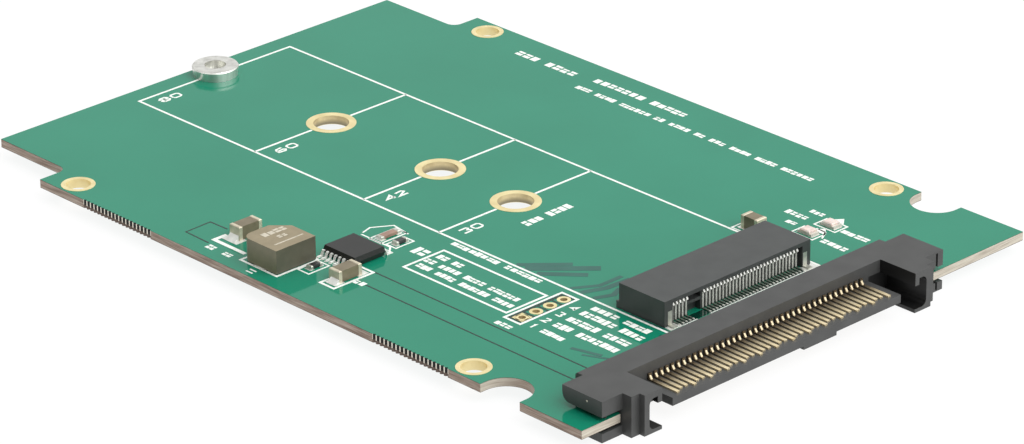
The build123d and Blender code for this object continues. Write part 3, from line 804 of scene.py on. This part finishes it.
def marks(sheet, start, end, height, groups, draw):
    """Row of plain blocks in groups, where the card has small print."""
    length = (Vector(end) - Vector(start)).length
    pitch = length / (sum(groups) + len(groups) - 1)
    left = 0.0
    for count in groups:
        for i in range(count):
            wide = pitch * draw.uniform(*BLOCK_WIDTHS)
            low = height * draw.uniform(*BLOCK_FEET)
            high = height * draw.uniform(*BLOCK_HEADS)
            if draw.random() < SPLIT_SHARE:
                middle = height * draw.uniform(*BLOCK_MIDDLES)
                strips = ((low, middle), (middle + SPLIT_GAP * height, high))
            else:
                strips = ((low, high),)
            for v0, v1 in strips:
                corners = ((left, v0), (left + wide, v0), (left + wide, v1), (left, v1))
                sheet.solid([turned(start, end, u, v) for u, v in corners])
            left += pitch
        left += pitch


# Outline of the module: half its width, its front, and where its cross lines stop at the holes
MODULE_HALF = 11.4
MODULE_FRONT = 8.82
CROSS_LINE_END = 2.9

# Length numbers: X where they start, distance in front of their hole, height
LENGTH_X = -9.6
LENGTH_AHEAD = 2.15
LENGTH_HEIGHT = 0.95


def module_outline():
    """Outline of the longest module, a number at each hole, and a cross line at all but the last."""
    sheet = Sheet(PRINT_HEIGHT)
    sheet.line([(-MODULE_HALF, MODULE_FRONT), (-MODULE_HALF, MODULE_REAR),
                (MODULE_HALF, MODULE_REAR), (MODULE_HALF, MODULE_FRONT)], LINE, closed=True)
    for text, y in MODULE_LENGTHS:
        if y < MODULE_REAR:
            sheet.line([(-MODULE_HALF, y), (-CROSS_LINE_END, y)], LINE)
            sheet.line([(CROSS_LINE_END, y), (MODULE_HALF, y)], LINE)
        foot = y - LENGTH_AHEAD
        number(sheet, text, (LENGTH_X, foot), (0.0, foot), LENGTH_HEIGHT)
    sheet.finish("print_module", PRINT)


# Rows of small print: start, end, height, marks in each group
PRINT_ROWS = (
    ((28.5, 73.8), (28.5, 64.0), 1.15, (3, 4)),
    ((29.1, 61.5), (29.1, 46.8), 1.1, (7, 5)),
    ((26.4, 61.7), (26.4, 24.8), 0.85, (3, 4, 6, 2, 4, 2, 3, 4, 4, 6)),
    ((-3.5, 38.25), (3.6, 38.25), 1.2, (3, 4)),
    ((-12.65, 40.8), (-12.65, 27.1), 0.9, (8, 6)),
    ((-15.95, 39.5), (-15.95, 35.6), 0.95, (2, 2)),
    ((-17.45, 39.8), (-17.45, 25.5), 0.95, (2, 4, 4, 6)),
    ((-18.95, 39.5), (-18.95, 24.9), 0.95, (3, 4, 6, 4)),
    ((-22.5, 23.7), (-22.5, 21.4), 0.85, (3,)),
    ((-20.6, 18.9), (-20.6, 15.6), 0.9, (4,)),
    ((-18.7, 19.0), (-18.7, 9.8), 1.15, (3, 7)),
    ((-16.8, 19.0), (-16.8, 10.0), 1.15, (5, 4)),
    ((-14.9, 19.0), (-14.9, 10.0), 1.15, (6, 4)),
    ((-13.2, 19.0), (-13.2, 10.6), 1.0, (4, 4)),
    ((-31.6, 58.7), (-31.6, 57.4), 0.9, (2,)),
    ((-31.5, 56.1), (-31.5, 54.8), 0.8, (2,)),
    ((-26.3, 41.1), (-26.3, 39.6), 0.9, (2,)),
    ((18.6, 21.5), (18.6, 18.3), 0.95, (4,)),
    ((16.8, 19.7), (16.8, 18.2), 0.8, (2,)),
    ((20.5, 19.6), (20.5, 17.6), 0.8, (3,)),
    ((19.0, 13.7), (19.0, 9.8), 0.9, (4,)),
    ((15.7, 13.6), (15.7, 9.8), 0.9, (4,)),
    ((-17.0, 42.5), (-17.0, 40.6), 1.9, (2,)),
)

# Pin numbers of the header: the X of each, and for all their distance, height and width
PIN_NUMBERS = (("1", -20.5), ("2", -18.6), ("3", -16.6), ("4", -14.6))
PIN_Y = 20.6
PIN_HEIGHT = 0.85
PIN_WIDTH = 0.7

# Two strokes left of the inductor: X places and distance limits
STROKE_PLACES = (-32.3, -31.75)
STROKE_FRONT = 50.1
STROKE_REAR = 51.1


def small_print():
    """Rows of blocks in place of the labels, and the header's pin numbers."""
    sheet = Sheet(PRINT_HEIGHT)
    draw = random.Random(7)
    for start, end, height, groups in PRINT_ROWS:
        marks(sheet, start, end, height, groups, draw)
    for text, x in PIN_NUMBERS:
        number(sheet, text, (x, PIN_Y), (x, 0.0), PIN_HEIGHT, PIN_WIDTH, THIN)
    for x in STROKE_PLACES:
        sheet.line([(x, STROKE_REAR), (x, STROKE_FRONT)], THIN)
    sheet.finish("print_labels", PRINT)


# Boxes of print: x limits, distance limits, width of the line
PRINT_BOXES = (
    (-20.75, -12.45, 21.5, 23.85, LINE), (-19.9, -14.1, 24.45, 40.1, LINE),
    (-30.95, -25.15, 47.75, 53.55, LINE), (-28.2, -25.3, 45.8, 47.5, THIN),
    (-28.7, -23.1, 41.3, 43.45, LINE), (-17.7, -13.95, 46.1, 47.9, THIN),
    (-17.4, -14.8, 44.05, 45.55, THIN), (11.75, 14.45, 18.75, 22.65, THIN),
    (15.5, 17.5, 14.4, 17.4, THIN), (18.6, 20.6, 14.0, 17.0, THIN),
    (-9.5, -7.0, 9.3, 9.55, 0.12), (-4.95, 10.6, 9.3, 9.55, 0.12),
)

# Open lines of print: points and width
PRINT_LINES = (
    ([(-27.9, 59.35), (-29.65, 59.35), (-29.65, 54.3)], 0.5),
    ([(-17.6, 49.3), (-17.6, 44.7), (-18.9, 43.5)], THIN),
    ([(-14.0, 45.8), (-13.6, 48.5), (-15.8, 49.9), (-17.2, 49.5)], THIN),
    ([(18.0, 16.1), (17.9, 14.7), (16.5, 13.9)], THIN),
    ([(15.3, 19.6), (15.3, 22.4)], THIN),
)

# Arrow heads of print beside the lights
PRINT_ARROWS = (
    [(17.6, 16.2), (17.6, 14.4), (18.6, 15.3)],
    [(20.75, 16.5), (20.75, 14.7), (21.85, 15.6)],
)


def outline_print():
    """Boxes, lines and arrow heads around the parts."""
    sheet = Sheet(PRINT_HEIGHT)
    for x0, x1, y0, y1, width in PRINT_BOXES:
        sheet.frame(x0, x1, y0, y1, width)
    for points, width in PRINT_LINES:
        sheet.line(points, width)
    for outline in PRINT_ARROWS:
        sheet.solid(outline)
    sheet.finish("print_outlines", PRINT)


# Mark on the inductor: rows as in PRINT_ROWS, then points and width of its stripe
INDUCTOR_ROWS = (
    ((-29.3, 51.3), (-26.0, 51.3), 0.95, (4,)),
    ((-28.3, 50.1), (-27.0, 50.1), 0.7, (2,)),
)
STRIPE_POINTS = [(-29.9, 49.2), (-25.9, 49.2)]
STRIPE_WIDTH = 0.18


def inductor_print():
    """Stripe and plain marks on top of the inductor."""
    sheet = Sheet(PRINT_HEIGHT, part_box("inductor_body")[1].z)
    draw = random.Random(5)
    for start, end, height, groups in INDUCTOR_ROWS:
        marks(sheet, start, end, height, groups, draw)
    sheet.line(STRIPE_POINTS, STRIPE_WIDTH)
    sheet.finish("inductor_print", STAMP)


# Lines of buried copper that show through the mask on top
TRACES_TOP = (
    [(-22.95, 41.4), (-22.95, 5.5)], [(-25.7, 39.7), (-25.7, 5.5)],
    [(-26.9, 60.4), (-27.0, 63.1), (-30.5, 63.0), (-30.6, 59.2)],
)

# Dark fields on the mask: a sheet of painted shade under the feet of the socket's legs, and two strips and
# five short bars of darker mask inside the header's box
SHADE_AND_MASK_FIELDS_TOP = (
    (-9.3, 9.3, 9.6, 10.75), (-20.5, -12.7, 21.68, 21.76), (-20.5, -12.7, 23.24, 23.66),
)
BAR_PLACES = (-20.37, -18.5, -16.5, -14.5, -12.73)
BAR_HALF = 0.13
BAR_FRONT = 21.76
BAR_REAR = 23.24

# Wider lines of copper, a little lighter: points and width
FILLS_TOP = (
    ([(-11.1, 32.1), (-6.8, 28.0)], 0.8), ([(-11.1, 30.8), (-5.4, 25.2)], 1.1),
    ([(-11.1, 29.0), (-7.5, 25.0)], 0.9), ([(-11.1, 24.0), (-8.4, 22.3), (-5.2, 22.3)], 0.6),
    ([(-11.1, 22.5), (-8.4, 21.4), (-5.0, 21.2)], 0.8), ([(-11.1, 20.6), (-9.0, 19.7), (-7.4, 20.3)], 0.7),
    ([(-20.9, 13.9), (-19.9, 10.4)], 0.5), ([(-21.2, 12.0), (-19.8, 9.2)], 0.35),
    ([(-11.1, 15.2), (-11.1, 9.2)], 0.25), ([(-12.4, 9.6), (-12.4, 7.2)], 0.4),
)

# Traces below: the tails that have one, whose way meets no hole, and the distance of all starts
TRACED_SIGNALS = SIGNAL_TAILS[:5]
TRACED_POWER = POWER_TAILS[11:]
TRACE_START = 8.5

# Signal traces: where the slope of the first one ends and how much later that of each next one,
# length of a slope, last X as a share of the first X less a shift, and end
SIGNAL_TURN = 22.0
SIGNAL_STEP = 1.1
SIGNAL_SLOPE = 6.0
SIGNAL_SHARE = 0.5
SIGNAL_SHIFT = 3.0
SIGNAL_END = 38.0

# Power traces: distances of the slope, shift to the left, end of the first one and how much
# longer each next one is, and width
POWER_BEND = (26.0, 30.0)
POWER_SHIFT = 4.0
POWER_END = 44.0
POWER_STEP = 0.8
POWER_WIDTH = 0.5


def copper_on_top():
    """Lines, fields and wide lines of buried copper on the component side, and a dark sheet of painted
    shade under the socket's feet.
    """
    lines = Sheet(TRACE_HEIGHT)
    for points in TRACES_TOP:
        lines.line(points, THIN)
    # The first field is painted shade under the socket's feet; the others are darker mask.
    for x0, x1, y0, y1 in SHADE_AND_MASK_FIELDS_TOP:
        lines.box(x0, x1, y0, y1)
    for x in BAR_PLACES:
        lines.box(x - BAR_HALF, x + BAR_HALF, BAR_FRONT, BAR_REAR)
    lines.finish("traces_and_shade_top", MASK_LINE)
    fills = Sheet(TRACE_HEIGHT)
    for points, width in FILLS_TOP:
        fills.line(points, width)
    fills.finish("fills_top", MASK_FILL)


def copper_below():
    """Traces from some of the plug's lower tails, on the side that the photo doesn't show."""
    sheet = Sheet(TRACE_HEIGHT, BOTTOM, down=True)
    for i, x in enumerate(TRACED_SIGNALS):
        turn = SIGNAL_TURN + SIGNAL_STEP * i
        last = SIGNAL_SHARE * x - SIGNAL_SHIFT
        points = [(x, TRACE_START), (x, turn - SIGNAL_SLOPE), (last, turn), (last, SIGNAL_END)]
        sheet.line(points, THIN)
    for i, x in enumerate(TRACED_POWER):
        last = x - POWER_SHIFT
        points = [(x, TRACE_START), (x, POWER_BEND[0]), (last, POWER_BEND[1]),
                  (last, POWER_END + POWER_STEP * i)]
        sheet.line(points, POWER_WIDTH)
    sheet.finish("traces_bottom", MASK_LINE)


# Stage, light and camera
def world_light():
    """White studio surround: brighter above and in front, and dimmed on the left."""
    world = bpy.data.worlds.new("studio")
    bpy.context.scene.world = world
    world.use_nodes = True
    tree = world.node_tree
    background = tree.nodes["Background"]
    background.inputs["Color"].default_value = (1, 1, 1, 1)
    where = tree.nodes.new("ShaderNodeTexCoord")

    def part(direction, start, stop, low, high):
        """Smooth change of the light towards a direction."""
        towards = tree.nodes.new("ShaderNodeVectorMath")
        towards.operation = "DOT_PRODUCT"
        towards.inputs[1].default_value = direction
        tree.links.new(where.outputs["Generated"], towards.inputs[0])
        soft = tree.nodes.new("ShaderNodeMapRange")
        soft.interpolation_type = "SMOOTHSTEP"
        for name, value in zip(("From Min", "From Max", "To Min", "To Max"), (start, stop, low, high)):
            soft.inputs[name].default_value = value
        tree.links.new(towards.outputs["Value"], soft.inputs["Value"])
        return soft.outputs["Result"]

    def join(operation, a, b):
        """Sum or product of two parts of the light."""
        made = tree.nodes.new("ShaderNodeMath")
        made.operation = operation
        tree.links.new(a, made.inputs[0])
        tree.links.new(b, made.inputs[1])
        return made.outputs["Value"]

    above = part(*LIGHT_ABOVE)
    front = part(*LIGHT_FRONT)
    left = part(*LIGHT_LEFT)
    total = join("MULTIPLY", join("ADD", above, front), left)
    tree.links.new(total, background.inputs["Strength"])


def floor():
    """Floor that is pale mostly by its own glow, so that shadows on it stay faint."""
    mesh = bpy.data.meshes.new("floor")
    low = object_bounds()[0].z
    size = FLOOR_SIZE
    corners = [(-size, -size, low), (size, -size, low), (size, size, low), (-size, size, low)]
    mesh.from_pydata(corners, [], [(0, 1, 2, 3)])
    plane = bpy.data.objects.new("floor", mesh)
    bpy.context.scene.collection.objects.link(plane)
    paint = Paint("floor", FLOOR_COLOR, 0.8, specular=0.1)
    paint.shader.inputs["Emission Color"].default_value = (1, 1, 1, 1)
    paint.shader.inputs["Emission Strength"].default_value = FLOOR_GLOW
    mesh.materials.append(paint.material)
    plane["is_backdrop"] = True


def area_light(name, location, size, power):
    """Square lamp that faces the object."""
    data = bpy.data.lights.new(name, "AREA")
    data.size = size
    data.energy = power
    lamp = bpy.data.objects.new(name, data)
    lamp.location = location
    lamp.rotation_mode = "QUATERNION"
    lamp.rotation_quaternion = (-Vector(location)).to_track_quat("-Z", "Y")
    bpy.context.scene.collection.objects.link(lamp)


def camera():
    """Camera of the photograph."""
    data = bpy.data.cameras.new("camera")
    data.sensor_width = SENSOR_WIDTH
    data.lens = FOCAL_LENGTH
    data.clip_start = CLIP_START
    data.clip_end = CLIP_END
    turn = math.radians(CAMERA_AZIMUTH)
    rise = math.radians(CAMERA_ELEVATION)
    back = Vector((math.sin(turn) * math.cos(rise), -math.cos(turn) * math.cos(rise), math.sin(rise)))
    eye = bpy.data.objects.new("camera", data)
    eye.location = CAMERA_TARGET + back * CAMERA_DISTANCE
    eye.rotation_mode = "QUATERNION"
    level = (-back).to_track_quat("-Z", "Y")
    eye.rotation_quaternion = level @ Quaternion((0, 0, 1), math.radians(CAMERA_ROLL))
    bpy.context.scene.collection.objects.link(eye)
    bpy.context.scene.camera = eye


paint_nodes()
hole_copper()
solder_pads()
solder_fillets()
bends("plug_contact_bends", UPPER_TAILS, PLUG_BEND, BEND_GOLD)
bends("socket_leg_bends", SOCKET_FEET, LEG_BEND, LEAD_TIN)
ear_fronts()
gate_mark()
copper_on_top()
copper_below()
module_outline()
small_print()
outline_print()
inductor_print()
world_light()
area_light("key", KEY_PLACE, KEY_SIZE, KEY_POWER)
floor()
camera()
bpy.context.scene.view_settings.view_transform = "Standard"
